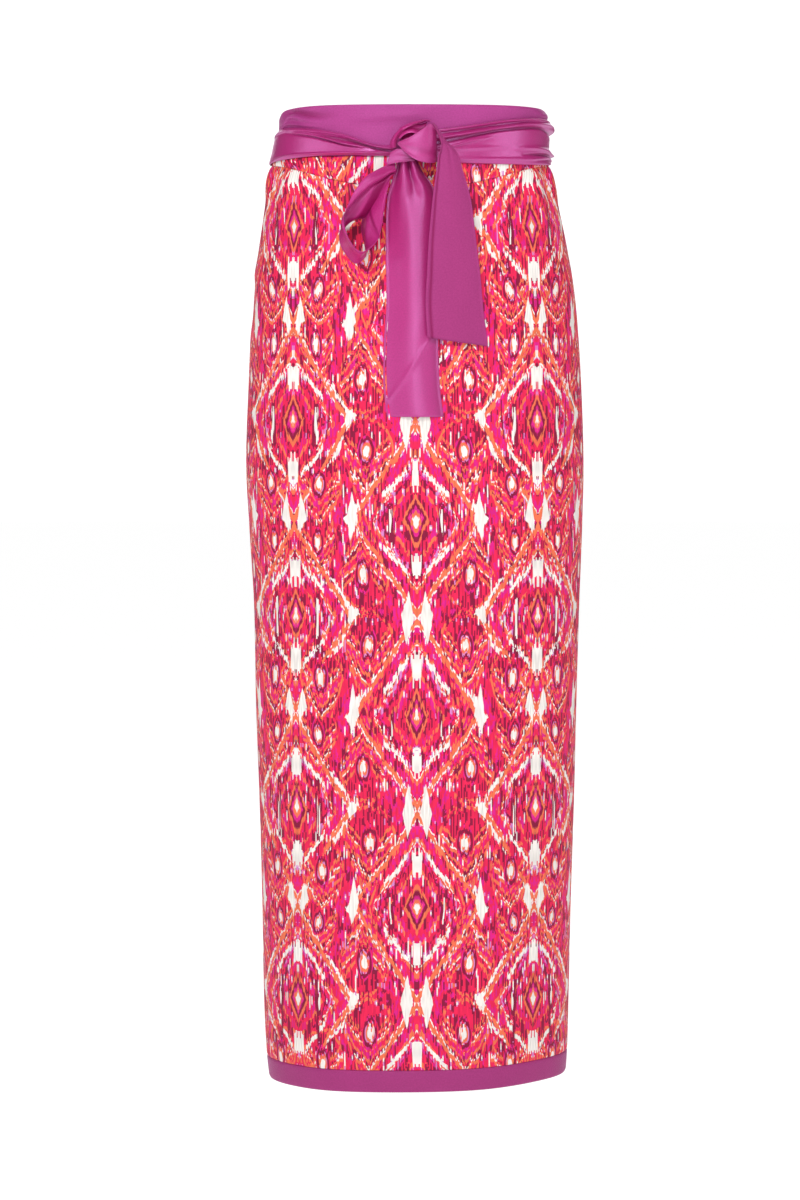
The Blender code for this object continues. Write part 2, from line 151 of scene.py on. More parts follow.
# The sash where it lies round the waist: its lower and upper edge, and how far its middle swells
Stretch = namedtuple("Stretch", "turn low high swell")
SASH_LEFT = table(
    Stretch,
    (-90.03, -34, -5, 2.2),
    (-75, -31.5, 0.2, 2),
    (-60, -29.5, 1.2, 2),
    (-40, -27, -1.4, 2.2),
    (-25, -26.5, -7.2, 2.8),
    (-12, -27.5, -16.5, 3),
    (-0.2, -27.5, -16.5, 2),
)
SASH_RIGHT = table(
    Stretch,
    (0.2, -32, -5, 2),
    (10, -33.5, -1.2, 2.6),
    (20, -34.5, 2, 3),
    (40, -35, 8.2, 3.2),
    (60, -35, 10.8, 2.8),
    (75, -34.5, 10.5, 2),
    (90.03, -33.5, 8.5, 1.4),
)
SASH_BACK = table(
    Stretch,
    (89.97, -33.5, 8.5, 1.4),
    (130, -34.5, 10, 3),
    (180, -35, 8, 3.4),
    (230, -34.5, 4, 2.8),
    (270.03, -34, -5, 2.2),
)

# Creases along the sash and the waistband, each by its own row of points: where it lies, how wide it is,
# and how high its ridge or how deep its trough, before all are made stronger by a share
CREASE_STRENGTH = 1.8
BAND_CREASE_SHARE = 1.7
CREASE_SIDE_EASE = 0.4
Crease = namedtuple("Crease", "turn z width height")


def crease(*points):
    return table(Crease, *points)


SASH_CREASES = [
    crease(
        (52, 5, 4, 0),
        (72, 3, 4.4, 1.2),
        (84, 1.2, 4.6, 3),
        (92, 0.4, 4.6, 4.8),
        (108, 0.8, 4.4, 3.4),
        (150, 2, 4, 1),
        (185, 2, 4, 0),
    ),
    crease(
        (60, -20.5, 2.6, 0),
        (76, -22.2, 2.4, 1.2),
        (86, -23.8, 2.2, 2.8),
        (93, -24.6, 2, 4.6),
        (104, -24.2, 2.2, 2.2),
        (122, -23, 3, 0),
    ),
    crease(
        (2, -4.5, 1.2, 1),
        (10, -2.5, 1.3, 1.4),
        (25, 3, 1.3, 1.8),
        (43, 8, 1.4, 1.8),
        (63, 9.2, 1.7, 1.6),
        (95, 7.8, 2.2, 0.8),
    ),
    crease(
        (2, -7.5, 1.2, -1),
        (18, -2.8, 1.2, -1.6),
        (34, 2.7, 1.2, -1.6),
        (52, 6.8, 1.2, -1.2),
        (64, 7.4, 1.2, 0),
    ),
    crease(
        (2, -13, 1.2, 1),
        (18, -6.5, 1.3, 1.8),
        (34, -0.6, 1.2, 1.8),
        (55, 4.3, 1.2, 1.6),
        (75, 4.6, 1.6, 1.6),
        (100, 3, 2.2, 1),
    ),
    crease(
        (2, -18, 1.4, -1.6),
        (12, -12.8, 1.8, -3),
        (25, -6.6, 1.4, -3.2),
        (38, -1.8, 1, -3),
        (63, 1, 1, -2.8),
        (78, -3, 1.4, -2.8),
        (96, -6.2, 2, -2.2),
        (120, -5.5, 2.2, -1),
    ),
    crease(
        (4, -23, 1.1, 0.8),
        (14, -18.3, 1, 1.4),
        (22, -12.8, 1, 1.2),
        (34, -8.5, 1.2, 0),
    ),
    crease(
        (10, -21.5, 1.8, 0.6),
        (28, -19.5, 2, 0.6),
        (42, -19, 2, 0),
    ),
    crease(
        (44, -19.5, 2.2, 0.2),
        (60, -18.6, 1.8, 1),
        (74, -19.8, 1.8, 1.2),
        (90, -21.5, 1.8, 0.4),
    ),
    crease(
        (50, -25.2, 1.2, -0.4),
        (74, -25.2, 1.2, -2.4),
        (92, -28, 1.2, -2),
        (125, -26, 1.4, -1),
    ),
    crease(
        (56, -29.5, 1.2, 0.2),
        (78, -27.2, 1.2, 1.4),
        (94, -29.8, 1.4, 1.4),
        (110, -30, 1.4, 0),
    ),
    crease(
        (8, -30.5, 1.6, 0.7),
        (43, -30, 1.6, 0.7),
        (60, -29.2, 1.6, 0.4),
    ),
    crease(
        (104, -16, 2, 0),
        (135, -13.5, 1.6, -2),
        (170, -6, 1.4, -2.2),
        (205, 0.5, 1.2, -1.2),
    ),
    crease(
        (120, -8.5, 2, 0.4),
        (150, -6, 1.8, 1.4),
        (185, 1, 1.6, 1.2),
    ),
    crease(
        (150, -27, 1.6, 0),
        (180, -23.5, 1.4, -1.8),
        (215, -17, 1.3, -2.2),
        (245, -11, 1.2, -1.6),
        (262, -8.5, 1.2, 0),
    ),
    crease(
        (160, -21.5, 1.6, 0),
        (195, -16, 1.8, 1.4),
        (235, -8, 1.6, 1),
    ),
    crease(
        (205, -30, 1.4, 0),
        (235, -27.5, 1.2, -1.4),
        (268, -28, 1.2, -1),
    ),
    crease(
        (-90, -7, 1.5, 0.6),
        (-69, -2.2, 1.1, 1),
        (-57, -1, 1.1, 1.4),
        (-46, -2.2, 1.2, 1.6),
        (-29, -6.2, 1.3, 1.8),
        (-12, -18.2, 1.3, 1.8),
        (-2, -21.5, 1.2, 1.4),
    ),
    crease(
        (-50, -4.4, 1, -0.4),
        (-36, -8.4, 1.4, -1.2),
        (-23, -13, 1.2, -2),
        (-12, -20.5, 1, -2.2),
        (-2, -24.5, 1, -1.8),
    ),
    crease(
        (-62, -2, 0.9, 0.2),
        (-43, -6.7, 0.9, 1.4),
        (-33, -11.2, 0.9, 1.5),
        (-25, -15.7, 0.9, 1.3),
        (-14, -19.8, 0.9, 0.4),
    ),
    crease(
        (-64, -4, 0.8, -0.4),
        (-43, -8.6, 0.8, -1.4),
        (-33, -13.1, 0.8, -1.5),
        (-25, -17.3, 0.8, -1.2),
        (-14, -20.8, 0.8, 0),
    ),
    crease(
        (-74, -29.2, 1, 0.4),
        (-53, -25.2, 0.9, 1),
        (-10, -24, 0.9, 1),
        (-2, -24.8, 0.9, 0.8),
    ),
]
WAISTBAND_CREASES = [
    crease(
        (-84, -2, 2, 0.2),
        (-70, 6, 2, 1),
        (-61, 12.2, 2, 1.3),
        (-51, 9.5, 2.4, 0.8),
        (-36, 4, 3, 0),
    ),
    crease(
        (-80, -3, 1.2, 0.2),
        (-71, 2.2, 1.2, 1),
        (-65, 5.2, 1.2, 1.1),
        (-49, 3, 1.4, 0.6),
        (-38, 1, 1.6, 0),
    ),
    crease(
        (-74, 15, 2.2, -0.2),
        (-62, 16.8, 3.2, -0.9),
        (-52, 13.8, 3.6, -1.1),
        (-42, 12.4, 3.4, -0.7),
        (-30, 11.8, 3, 0),
    ),
    crease(
        (-28, 8, 5, 0),
        (-9, 11, 4.5, 0.6),
        (6, 12, 5, 0),
    ),
    crease(
        (60, 15, 4, 0),
        (78, 13, 3.5, 1.2),
        (98, 14, 4, 0),
    ),
    crease(
        (120, 15, 3, 0),
        (150, 12, 3, 0.8),
        (190, 13, 3, 0),
    ),
    crease(
        (200, 10, 3, 0),
        (240, 14, 3, 0.9),
        (266, 8, 3, 0),
    ),
]

# The bow, as ribbons between two edges. Each edge point is its place across and up the front, and how far
# it stands before the garment's front. Swell is how far the ribbon's middle bows out
Station = namedtuple("Station", "x1 z1 out1 x2 z2 out2 swell")
TAIL_LONG = table(
    Station,
    (-16.5, -31, 10, 1, -31, 10, 2),
    (-20.3, -45.1, 8.5, 8.3, -45.1, 9.5, 4),
    (-23.7, -54.8, 6, 16.1, -55.8, 7.5, 5),
    (-27.1, -67.4, 3.5, 20.9, -69.4, 5, 5),
    (-28.6, -91.7, 1.8, 22.9, -93.6, 3, 4.2),
    (-28.6, -120.8, 1.4, 22.9, -120.8, 2.2, 3.5),
    (-28.1, -169.4, 1.4, 22.9, -169.4, 1.6, 2.5),
    (-30.5, -208.2, 1.4, 21.9, -208.2, 1.4, 2),
    (-31, -247, 1.4, 23.3, -247, 1.4, 1.2),
    (-27.6, -279.1, 1.4, 27.2, -279.1, 1.4, 0.8),
)
TAIL_SHORT = table(
    Station,
    (16, 3, 17, 17.2, 4.2, 9.5, 0.4),
    (19, -1.5, 19.5, 20.5, -0.5, 12, 0.6),
    (21.5, -7, 22.5, 23.4, -6, 16, 0.8),
    (23.4, -12.5, 25, 27, -11.5, 19, 1),
    (24.5, -17.9, 27, 33.5, -17.9, 21.5, 1.4),
    (23.6, -22.5, 27.8, 37.8, -22.2, 22.5, 1.8),
    (21.4, -29, 28.2, 42, -29.2, 22.6, 2.2),
    (20, -41, 27, 45, -41.5, 20.8, 2.8),
    (17, -62.6, 24, 52, -65.5, 17, 3),
    (14.6, -83.9, 21, 55.4, -86.8, 13.5, 2.8),
    (12.2, -111.1, 16.5, 58.8, -114, 9.5, 2.4),
    (10.7, -140.2, 12, 62.7, -144.1, 5.5, 1.8),
    (9.3, -169.4, 8.5, 65.6, -175.2, 2.8, 1.4),
    (11.2, -202.4, 6.8, 70, -211.1, 1.5, 1),
)
LOOP = table(
    Station,
    (-19.5, -33.5, 12.5, -19.5, -44, 12, 1),
    (-30, -37.8, 15.5, -24, -47.5, 11.8, 1.6),
    (-40, -42.8, 20, -28.5, -54.5, 11.5, 2.5),
    (-50, -49.9, 24, -33.4, -63.5, 11, 3.5),
    (-60.6, -64.5, 26, -39.3, -75.2, 9.5, 4),
    (-67.4, -78.1, 26.5, -48, -85.9, 7.5, 4),
    (-70.3, -87.8, 26.5, -60.6, -89.7, 5.5, 3),
    (-68.4, -97.5, 26.5, -72.3, -97.5, 4, 2),
    (-64.5, -108.2, 26.5, -73.3, -112.1, 2.5, 1.5),
    (-57.7, -117.9, 26.5, -64.5, -126.6, 1.6, 1.5),
    (-50.9, -120.8, 26.5, -56.7, -131.5, 1.4, 1.5),
    (-43.2, -116.9, 26, -48, -124, 1.4, 2),
    (-36.4, -109.2, 25, -49.2, -111.2, 1.6, 3),
    (-32.5, -96.5, 22.5, -52.2, -96.6, 2, 3),
    (-30, -80, 19, -47.8, -77.6, 2.6, 2.5),
    (-27.5, -64, 15, -36.6, -60.8, 4.2, 1.5),
    (-24.5, -50, 12, -26.2, -49, 7, 0.5),
)
KNOT_WRAP = table(
    Station,
    (-17, -16.8, 17, -17.2, -15, 16.5, 0.2),
    (-8.2, -25.7, 22, -7.2, -11.1, 21.5, 1),
    (-0.4, -31.5, 23.5, 2.5, -5.3, 23, 1.6),
    (8.3, -34.4, 22.5, 10.2, 0.5, 21.5, 2),
    (15.1, -34.9, 20.5, 14.2, 2.6, 18.8, 2),
    (19.8, -33.7, 17.5, 19.6, -3.5, 16, 1),
)
KNOT_UNDER = table(
    Station,
    (-27.5, -36.3, 16.5, -24.5, -24.7, 15, 0.4),
    (-16.9, -34.4, 17.2, -16.9, -21.3, 17.2, 1),
    (-7.2, -33.4, 18.8, -9.2, -22.8, 18.8, 0.6),
    (-1, -32.5, 19, -3, -28.5, 19, 0.2),
)
KNOT_ARCH = table(
    Station,
    (-18.5, -20, 15.5, -24.2, -20, 7.5, 0.4),
    (-18, -14, 16.5, -24, -13.5, 7.5, 0.8),
    (-14, -7.5, 17.5, -18.9, -5.3, 7.5, 1),
    (-8, -2, 18, -11.1, 1, 7.5, 1),
    (-0.5, 1, 18, -1.4, 4.9, 7.5, 1),
    (8, 4.5, 17, 8.5, 6.6, 7.5, 0.8),
    (13.5, 5.5, 16, 15, 6, 8.5, 0.4),
)
KNOT_FOLD = table(
    Station,
    (-15.5, -12, 17.5, -17.2, -4, 12, 0.6),
    (-10.5, -8, 19.5, -12.8, 0, 12, 1),
    (-4, -6.2, 20, -3.2, 2.4, 12.2, 1.2),
    (3, -7.8, 19.5, 5.8, 2.6, 12, 1),
    (8.5, -6, 18, 11, 4.6, 12, 0.6),
)
KNOT_MIDDLE = (0.0, -0.0150, 0.0112)
KNOT_HALF = (0.0150, 0.0066, 0.0130)

# Linear colours of the dyes in the print, and of the satin
DYES = {
    "cream": (0.86, 0.80, 0.76),
    "orange": (0.85, 0.165, 0.075),
    "red": (0.80, 0.015, 0.085),
    "magenta": (0.72, 0.012, 0.235),
    "burgundy": (0.25, 0.006, 0.045),
    "lilac": (0.68, 0.22, 0.55),
}
FADED = (0.80, 0.52, 0.52, 1.0)
ORCHID_GLOSSY = (0.475, 0.020, 0.182)
ORCHID_BAND = (0.415, 0.045, 0.230)
ORCHID_MATT = (0.365, 0.035, 0.172)
# painted shade: the dark orchid that the satin is mixed towards in folds and creases, standing in for their
# shade
ORCHID_PAINTED_SHADE = (0.235, 0.001, 0.062, 1.0)
ORCHID_GLOSS = (0.70, 0.52, 1.00, 1.0)
ORCHID_SHEEN = (1.0, 0.50, 0.82, 1.0)
SATIN_IOR = 1.8

# The satins: hanging loose, pulled taut round the waist, bent softly, in folds with its gloss lowered as
# painted shade on the loop and inside the knot, in the waistband, and from the dull side
Satin = namedtuple("Satin", "colour roughness gloss shine sheen grain")
SATINS = {
    "orchid_satin": Satin(ORCHID_GLOSSY, 0.31, 0.78, 0.06, 0.08, 0.14),
    "orchid_satin_taut": Satin(ORCHID_GLOSSY, 0.30, 1.0, 0.10, 0.10, 0.14),
    "orchid_satin_soft": Satin(ORCHID_GLOSSY, 0.42, 0.70, 0.06, 0.16, 0.16),
    "orchid_satin_shade_dimmed": Satin(ORCHID_GLOSSY, 0.34, 0.34, 0.10, 0.05, 0.14),
    "orchid_satin_band": Satin(ORCHID_BAND, 0.48, 0.30, 0.06, 0.12, 0.22),
    "orchid_satin_reverse": Satin(ORCHID_MATT, 0.55, 0.20, 0.03, 0.14, 0.25),
}

# Camera and room
CAMERA = (-0.015, -4.0, -0.148)
LOOK_AT = (-0.015, 0.0, -0.466)
FRAME_HEIGHT = 1.2
SENSOR = 36.0
CLIP_END = 50
FLOOR = -1.035
ROOM = 11.0
AMBIENT = 0.10
PAPER = (0.25, 0.25, 0.25, 1.0)
WHITE = (1.0, 1.0, 1.0, 1.0)
LIT_POINT = (0.0, 0.0, -0.45)
Lamp = namedtuple("Lamp", "name place size power")
LAMPS = [
    Lamp("key", (-0.7, -2.3, 1.8), 0.6, 41.0),
    Lamp("front", (0.05, -3.4, 0.45), 0.8, 26.0),
    Lamp("fill", (1.8, -2.8, -0.1), 1.4, 5.0),
    Lamp("right", (2.1, -1.0, 0.5), 0.7, 10.5),
    Lamp("left", (-2.2, -0.9, 0.4), 0.9, 8.5),
    Lamp("top", (0.0, -0.9, 2.2), 1.0, 10.0),
    Lamp("behind", (0.0, 2.4, 1.1), 2.4, 32.0),
]


def curve(xs, ys, x):
    """Reads a smooth curve through the points, with the slope at each taken from its neighbours."""
    xs, ys, x = (np.asarray(values, dtype=float) for values in (xs, ys, x))
    slopes = np.zeros_like(ys)
    slopes[1:-1] = (ys[2:] - ys[:-2]) / (xs[2:] - xs[:-2])
    slopes[0] = (ys[1] - ys[0]) / (xs[1] - xs[0])
    slopes[-1] = (ys[-1] - ys[-2]) / (xs[-1] - xs[-2])
    x = np.clip(x, xs[0], xs[-1])
    i = np.clip(np.searchsorted(xs, x, side="right") - 1, 0, len(xs) - 2)
    step = xs[i + 1] - xs[i]
    t = (x - xs[i]) / step
    return (
        (2 * t**3 - 3 * t**2 + 1) * ys[i]
        + (t**3 - 2 * t**2 + t) * step * slopes[i]
        + (3 * t**2 - 2 * t**3) * ys[i + 1]
        + (t**3 - t**2) * step * slopes[i + 1]
    )


def read_table(rows, key, x):
    """Reads every other column of a table at x, as a row of arrays."""
    ordered = sorted(rows, key=lambda row: getattr(row, key))
    xs = [getattr(row, key) for row in ordered]
    others = [name for name in rows[0]._fields if name != key]
    return {name: curve(xs, [getattr(row, name) for row in ordered], x) for name in others}


def smooth_step(t):
    t = np.clip(t, 0.0, 1.0)
    return t * t * (3 - 2 * t)


def bump(value, middle, width):
    return np.exp(-(((value - middle) / width) ** 2))


def drape_at(turn, z):
    """How far the cloth's soft ridges and troughs move it outwards."""
    total = np.zeros(np.broadcast(turn, z).shape)
    for row in DRAPES:
        away = (turn - row.turn + 180) % 360 - 180
        fall = (row.top - z) / (row.top - row.bottom)
        run = smooth_step(fall * 4) * smooth_step(2 - fall * 2)
        total = total + row.height * bump(away, 0, row.spread) * run
    return total


def surface(turn, z, out=0.0):
    """Points of the garment's outer surface, moved outwards by a distance."""
    turn, z, out = np.broadcast_arrays(*(np.asarray(v, dtype=float) for v in (turn, z, out)))
    row = read_table(SECTIONS, "z", z)
    across, ahead = np.sin(np.radians(turn)), np.cos(np.radians(turn))
    depth = np.where(ahead > 0, row["front"], row["back"])
    x = row["half_width"] * np.sign(across) * np.abs(across) ** (2 / row["power"])
    y = -depth * np.sign(ahead) * np.abs(ahead) ** (2 / row["power"])
    slope = row["power"] - 1
    nx = np.sign(x) * np.abs(x / row["half_width"]) ** slope / row["half_width"]
    ny = np.sign(y) * np.abs(y / depth) ** slope / depth
    length = np.hypot(nx, ny)
    out = out + drape_at(turn, z)
    return np.stack((x + row["shift"] + nx / length * out, y + ny / length * out, z), -1)


def front(x, z, out):
    """Points a distance before the garment's front, straight towards the viewer."""
    x, z, out = np.broadcast_arrays(*(np.asarray(v, dtype=float) for v in (x, z, out)))
    row = read_table(SECTIONS, "z", z)
    share = np.clip((x - row["shift"]) / row["half_width"], -0.999, 0.999)
    turn = np.degrees(np.arcsin(np.abs(share) ** (row["power"] / 2)) * np.sign(share))
    return np.stack((x, surface(turn, z)[..., 1] - out, z), -1)


def edge_spaced(count, length, fine=0.004):
    """Shares from 0 to 1 for a strip of the given length, closer together in the last few millimetres."""
    near = np.array([0.0, 0.10, 0.22, 0.38, 0.60, 1.0]) * fine / length
    inner = np.linspace(near[-1], 1 - near[-1], count - 10)
    return np.concatenate((near[:-1], inner, 1 - near[-2::-1]))


def area_of(points):
    """The area of a grid of points, as two triangles in each of its cells."""
    one, two = points[1:, 1:] - points[:-1, :-1], points[1:, :-1] - points[:-1, 1:]
    return float(np.linalg.norm(np.cross(one, two), axis=-1).sum() / 2)


def unit(vectors):
    return vectors / np.maximum(np.linalg.norm(vectors, axis=-1, keepdims=True), 1e-12)


def cloth(name, node, points, uv, materials, thickness, offset=-1.0, flip=False, depth=0.0):
    """A shell on a grid of points, numbered column by column, that stands for a CAD node. The depth argument
    is
    painted shade: how far each point's satin is darkened towards the dark orchid, from 0 to 1, most deep in
    a fold."""
    columns, rows = points.shape[:2]
    a = (np.arange(columns - 1)[:, None] * rows + np.arange(rows - 1)[None, :]).ravel()
    quads = np.stack((a, a + rows, a + rows + 1, a + 1), -1)
    if flip:
        quads = quads[:, ::-1]
    mesh = bpy.data.meshes.new(name)
    mesh.from_pydata(points.reshape(-1, 3).tolist(), [], quads.tolist())
    layer = mesh.uv_layers.new(name="Cut")
    layer.data.foreach_set("uv", uv.reshape(-1, 2)[quads.ravel()].ravel())
    # painted shade, stored on each point for the satin to darken by
    folded = mesh.attributes.new("Depth", "FLOAT", "POINT")
    folded.data.foreach_set("value", np.broadcast_to(depth, points.shape[:2]).ravel().astype(np.float32))
    for material in materials:
        mesh.materials.append(material)
    mesh.shade_smooth()
    piece = bpy.data.objects.new(name, mesh)
    bpy.context.scene.collection.objects.link(piece)
    shell = piece.modifiers.new("Thickness", "SOLIDIFY")
    shell.thickness = thickness
    shell.offset = offset
    shell.material_offset = len(materials) - 1
    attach(piece, "root")
    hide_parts(node)
    width, length = cut_lengths(points, 0)[-1].max(), cut_lengths(points, 1)[:, -1].max()
    area = min(area_of(points), width * length)
    return piece


def to_side(turn):
    """How many degrees a turn lies from the nearest side seam."""
    return np.abs(np.abs((turn + 180) % 360 - 180) - 90)


def cut_lengths(points, axis):
    """Running lengths along one way of a grid of points, for the cloth's own measure."""
    steps = np.linalg.norm(np.diff(points, axis=axis), axis=-1)
    pad = [(0, 0), (0, 0)]
    pad[axis] = (1, 0)
    return np.cumsum(np.pad(steps, pad), axis=axis)


def hem_tilt(turn):
    return HEM_RISE_TO_RIGHT * np.sin(np.radians(turn))


def band_top(turn):
    """The waistband's upper edge, which dips to rounded corners at the sides, more so at the left."""
    left = np.sin(np.radians(turn)) < 0
    corner = np.where(left, BAND_CORNER_LEFT, BAND_CORNER_RIGHT) * bump(to_side(turn), 0, 12)
    return BAND_TOP - corner - np.where(left, BAND_DIP_LEFT, BAND_DIP_RIGHT) * bump(to_side(turn), 0, 31)


def band_bottom(turn):
    return np.full_like(turn, BAND_BOTTOM)


def yoke_seam(turn):
    across = np.abs(np.sin(np.radians(turn)))
    return YOKE_SIDE - YOKE_DIP * np.cos(across * np.pi / 2) ** YOKE_DIP_POWER


def hem_seam(turn):
    return HEM_SEAM + hem_tilt(turn)


def hem_bottom(turn):
    return HEM_BOTTOM + hem_tilt(turn)


def creases_at(creases, turn, z):
    """How far creases move the cloth outwards."""
    total = np.zeros(np.broadcast(turn, z).shape)
    for points in creases:
        first, last = points[0].turn, points[-1].turn
        row = read_table(points, "turn", turn)
        run = smooth_step((turn - first) / 3 + 0.5) * smooth_step((last - turn) / 3 + 0.5)
        run = run * (1 - CREASE_SIDE_EASE * bump(np.abs(turn), 90, 18))
        total = total + CREASE_STRENGTH * row["height"] * run * bump(z, row["z"], row["width"])
    return total


def no_relief(turn, z):
    return np.zeros_like(z)


def waistband_relief(turn, z):
    return BAND_CREASE_SHARE * creases_at(WAISTBAND_CREASES, turn, z)


def pulled(turn, z):
    """How far the puckers below the yoke's sides pull the print sideways."""
    wave = np.sin(z / PULL_PITCH + 3 * np.sin(np.radians(turn * 5)))
    return PULL * bump(to_side(turn), 20, 22) * wave * smooth_step((z + 0.095) / 0.04)


def panel(name, side, top, bottom, rows, materials, relief=no_relief):
    """A cloth panel of the tube between two edge lines, its seams turned in."""
    first = -90 if side == "front" else 90
    shares = edge_spaced(PANEL_COLUMNS, PANEL_WIDTH)
    turn = first + 180 * shares[:, None]
    upper, lower = top(turn) + SEAM_LAP / 2, bottom(turn) - SEAM_LAP / 2
    down = edge_spaced(rows, float(np.mean(upper - lower)), fine=0.003)[None, :]
    z = upper + (lower - upper) * down
    side_lap = SEAM_LAP / 2 * ((shares > 1 - 1e-9).astype(float) - (shares < 1e-9))[:, None]
    out = relief(turn, z)
    # painted shade: points in a crease's trough are darkened, fully at BAND_FULL_DEPTH; only the waistband
    # has creases
    tone = FOLD_PAINTED_SHADE * np.clip(-out / BAND_FULL_DEPTH, 0, 1)
    to_seam = PANEL_WIDTH * np.minimum(shares, 1 - shares)[:, None]
    for to_edge, last in ((z - upper, down < 1e-9), (z - lower, down > 1 - 1e-9), (to_seam, to_seam < 1e-9)):
        out = out - SEAM_TURN * bump(to_edge, 0, SEAM_TURN_WIDTH) - SEAM_ALLOWANCE * last
    points = surface(turn, z, out)
    along = unit(surface(turn + 1, z) - surface(turn - 1, z))
    points = points + along * side_lap[..., None]
    u = cut_lengths(points, 0)
    middle = PANEL_COLUMNS // 2
    u = u - (u[middle - 1] + u[middle]) / 2 + pulled(turn, z)
    uv = np.stack((u, z), -1)
    name = f"{name}_{side}"
    return cloth(f"{name}_cloth", name, points, uv, materials, SILK, flip=True, depth=tone)


def sash_stretch(name, rows, columns, materials):
    """A stretch of the sash round the waist, with its rolled edges and its creases."""
    turn = np.linspace(rows[0].turn, rows[-1].turn, columns)[:, None]
    row = read_table(rows, "turn", turn)
    share = edge_spaced(SASH_ROWS, SASH_WIDTH, fine=0.0025)[None, :]
    z = row["low"] + (row["high"] - row["low"]) * share
    swell = row["swell"] * np.sin(np.pi * share).clip(0) ** 0.5
    to_edge = np.minimum(share, 1 - share) * (row["high"] - row["low"])
    edge = np.sqrt(1 - (1 - np.clip(to_edge / EDGE_ROLL, 0, 1)) ** 2)
    crease = creases_at(SASH_CREASES, turn, z)
    height = np.maximum(swell + crease, 0.0) + SOLID_CLOTH - SATIN
    # painted shade: points in a crease's trough are darkened, fully at SASH_FULL_DEPTH
    depth = FOLD_PAINTED_SHADE * np.clip(-crease / SASH_FULL_DEPTH, 0, 1)
    points = surface(turn, z, SASH_CLEAR + SATIN + height * edge)
    uv = np.stack((cut_lengths(points, 0), cut_lengths(points, 1)), -1)
    return cloth(f"{name}_cloth", name, points, uv, materials, SATIN, depth=depth)


def ribbon(name, node, rows, steps, across, materials, folds, depth):
    """A ribbon of the bow, lofted between its two edges, with its folds, and darkened as painted shade where
    its depth function says.
    """
    places = np.arange(len(rows))
    t = np.linspace(0, len(rows) - 1, steps)
    values = {field: curve(places, column, t)[:, None] for field, column in zip(Station._fields, zip(*rows))}
    v = edge_spaced(across, RIBBON_WIDTH, fine=0.003)[None, :]
    x, z, out = (values[k + "1"] + (values[k + "2"] - values[k + "1"]) * v for k in ("x", "z", "out"))
    points = front(x, z, out)
    middle = points.mean(axis=1)
    ahead = unit(np.gradient(middle, axis=0))
    span = points[:, -1] - points[:, 0]
    normal = unit(np.cross(ahead, span))[:, None, :]
    share = (t / (len(rows) - 1))[:, None]
    lift = values["swell"] * np.sin(np.pi * v) + folds(share, v)
    points = points + normal * lift[..., None]
    uv = np.stack((cut_lengths(points, 1), cut_lengths(points, 0)), -1)
    # painted shade from the ribbon's depth function
    tone = FOLD_PAINTED_SHADE * np.clip(depth(share, v), 0, 1)
    return cloth(f"{name}_cloth", node, points, uv, materials, SATIN, 0.0, True, tone)


def hem_line(v, depth=0.00030, inset=0.045):
    """The rolled edges of a ribbon, and the stitched line just inside each of them."""
    edges = bump(v, 0.005, 0.018) + bump(v, 0.995, 0.018)
    return 0.00045 * edges - depth * (bump(v, inset, 0.014) + bump(v, 1 - inset, 0.014))


def long_tail_wave(v):
    """The long tail's gathers, 1 on a ridge and -1 in a valley."""
    return np.cos((v - 0.31) * 4.65 * np.pi)


def long_tail_folds(t, v):
    """Gathers that fan from the knot, a soft bend across, and the press crease near the end."""
    gather = 0.0038 * bump(t, 0, 0.20) * long_tail_wave(v)
    spread = 0.0016 * bump(t, 0.24, 0.12) * np.cos((v - 0.33) * 4.4 * np.pi)
    spread = spread + 0.0018 * smooth_step((t - 0.2) * 3) * np.cos((v - 0.58) * 1.9 * np.pi)
    bend = 0.0010 * bump(t + 0.06 * v, 0.62, 0.05)
    crease = 0.0007 * bump(t + 0.22 * v, 0.955, 0.010) * smooth_step((t - 0.70) * 20)
    return gather + spread + bend + crease + hem_line(v)


# painted shade in the gathers' valleys near the knot, and a painted shadow down the right edge, where the
# short tail hangs before it
def long_tail_painted_shade(t, v):
    valley = 1.5 * bump(t, 0, 0.20) * np.clip(-long_tail_wave(v), 0, 1) ** 1.3
    return valley + 0.45 * smooth_step((v - 0.80) * 6) * smooth_step((t - 0.10) * 5)


def short_tail_folds(t, v):
    """The doubled rim along the left edge, and the shallow fold that runs down from the knot."""
    rim = 0.0012 * bump(v, 0.03, 0.03) - 0.0009 * bump(v, 0.085, 0.02)
    fold = -0.0010 * bump(v, 0.55, 0.10) * bump(t, 0.42, 0.16)
    wave = 0.0006 * np.sin(t * 9 + v * 2) * smooth_step((t - 0.4) * 3)
    return rim * smooth_step(t * 4) + fold + wave + hem_line(v)


# painted shade in the groove beside the doubled rim on the left edge
def short_tail_painted_shade(t, v):
    return 0.9 * bump(v, 0.085, 0.022) * smooth_step(t * 4)


def loop_fold_line(t):
    """Where across the loop its outer strip ends and its inner face begins."""
    return np.interp(t, [0.0, 0.08, 0.16, 0.24, 0.32, 0.42, 0.5], [0.98, 0.80, 0.55, 0.30, 0.14, 0.08, 0.08])


def loop_back_crease(t, v, width):
    """The slanted crease in the strand that turns back up to the knot."""
    return bump(v, 0.10 + (t - 0.78) * 6.5, width) * bump(t, 0.83, 0.07)


def loop_folds(t, v):
    """The loop's edge folded over towards the viewer, the ridge down its inner face and the creases where
    the satin turns back up."""
    line = loop_fold_line(t)
    turned = smooth_step((0.52 - t) * 8)
    fold = -0.0026 * bump(v, line, 0.07) * turned + 0.0016 * bump(v, line - 0.17, 0.11) * turned
    ridge = 0.0014 * bump(v, 0.52, 0.13) * bump(t, 0.27, 0.11)
    rim = 0.0010 * bump(v, 0.05, 0.05) * bump(t, 0.60, 0.12)
    crease = -0.0014 * loop_back_crease(t, v, 0.07)
    swell = 0.0014 * bump(v, 0.62, 0.14) * bump(t, 0.76, 0.10)
    return fold + ridge + rim + crease + swell + hem_line(v, inset=0.07)


